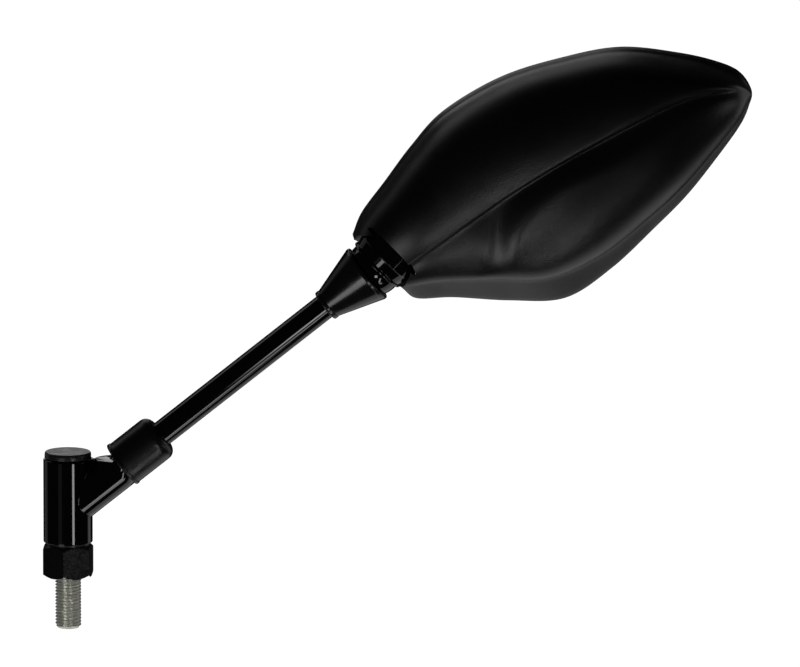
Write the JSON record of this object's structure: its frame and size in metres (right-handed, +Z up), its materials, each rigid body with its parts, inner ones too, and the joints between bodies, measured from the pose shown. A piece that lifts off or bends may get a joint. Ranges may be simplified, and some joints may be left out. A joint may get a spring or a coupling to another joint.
{
  "type": "motorcycle mirror",
  "caption": "Handlebar rear-view mirror: threaded stud and swivel barrel, angled round stem, ball joint under a rubber boot, and a pointed moulded shell with convex glass.",
  "frame": {"origin": "on the mounting stud's axis, in the plane where the hexagon seats on the handlebar clamp", "axes": "+Z up along the stud, +X in the plane of the stem towards the head, the shell faces -Y and the glass faces +Y"},
  "size_m": [0.273, 0.0385, 0.2249],
  "materials": {
    "zinc_plate": "bright zinc plate, slightly yellow-green",
    "black_hex": "satin black coating with a fine grain",
    "gloss_paint": "gloss black paint",
    "cap_plastic": "half-gloss black plastic",
    "sleeve_rubber": "matte black rubber",
    "boot_rubber": "half-gloss black rubber",
    "shell_plastic": "fine-grained satin black moulding",
    "carrier_plastic": "matte black moulding",
    "mirror_glass": "silvered convex glass",
    "plain_steel": "zinc-plated steel",
    "spring_steel": "spring steel",
    "bronze": "sintered bronze",
    "nylon": "natural nylon",
    "foam": "closed-cell foam"
  },
  "bodies": {
    "clamp_side": {"threaded_stud": "zinc_plate", "hex_base": "black_hex", "lower_washer": "cap_plastic", "thrust_washer": "plain_steel", "disc_springs": "spring_steel", "spring_washer": "plain_steel", "pivot_nut": "plain_steel"},
    "arm": {"swivel_body": "gloss_paint", "pivot_bush": "bronze", "top_cap": "cap_plastic", "stem": "gloss_paint", "lock_nut": "black_hex", "stem_sleeve": "sleeve_rubber", "cone_boot": "boot_rubber", "ball": "plain_steel"},
    "turning_seat": {"seat_cup": "nylon"},
    "tilting_seat": {"seat_ring": "nylon"},
    "head": {"ball_holder": "gloss_paint", "clamp_plate": "plain_steel", "clamp_springs": "spring_steel", "clamp_screws": "plain_steel", "holder_screws": "plain_steel", "housing": "shell_plastic", "glass_carrier": "carrier_plastic", "glass_pad": "foam", "mirror_glass": "mirror_glass"}
  },
  "joints": [
    {"name": "arm_swivel", "type": "hinge", "parent": "clamp_side", "child": "arm", "pos_m": [0, 0, 0.0273], "axis": [0, 0, 1], "continuous": true},
    {"name": "head_turn", "type": "hinge", "parent": "arm", "child": "turning_seat", "pos_m": [0.11817, 0, 0.1213], "axis": [0.7826, 0, 0.6225], "continuous": true},
    {"name": "head_nod", "type": "hinge", "parent": "turning_seat", "child": "tilting_seat", "pos_m": [0.11817, 0, 0.1213], "axis": [0, -1, 0], "range_deg": [-20, 8]},
    {"name": "head_swing", "type": "hinge", "parent": "tilting_seat", "child": "head", "pos_m": [0.11817, 0, 0.1213], "axis": [-0.6225, 0, 0.7826], "range_deg": [-12, 12]}
  ]
}
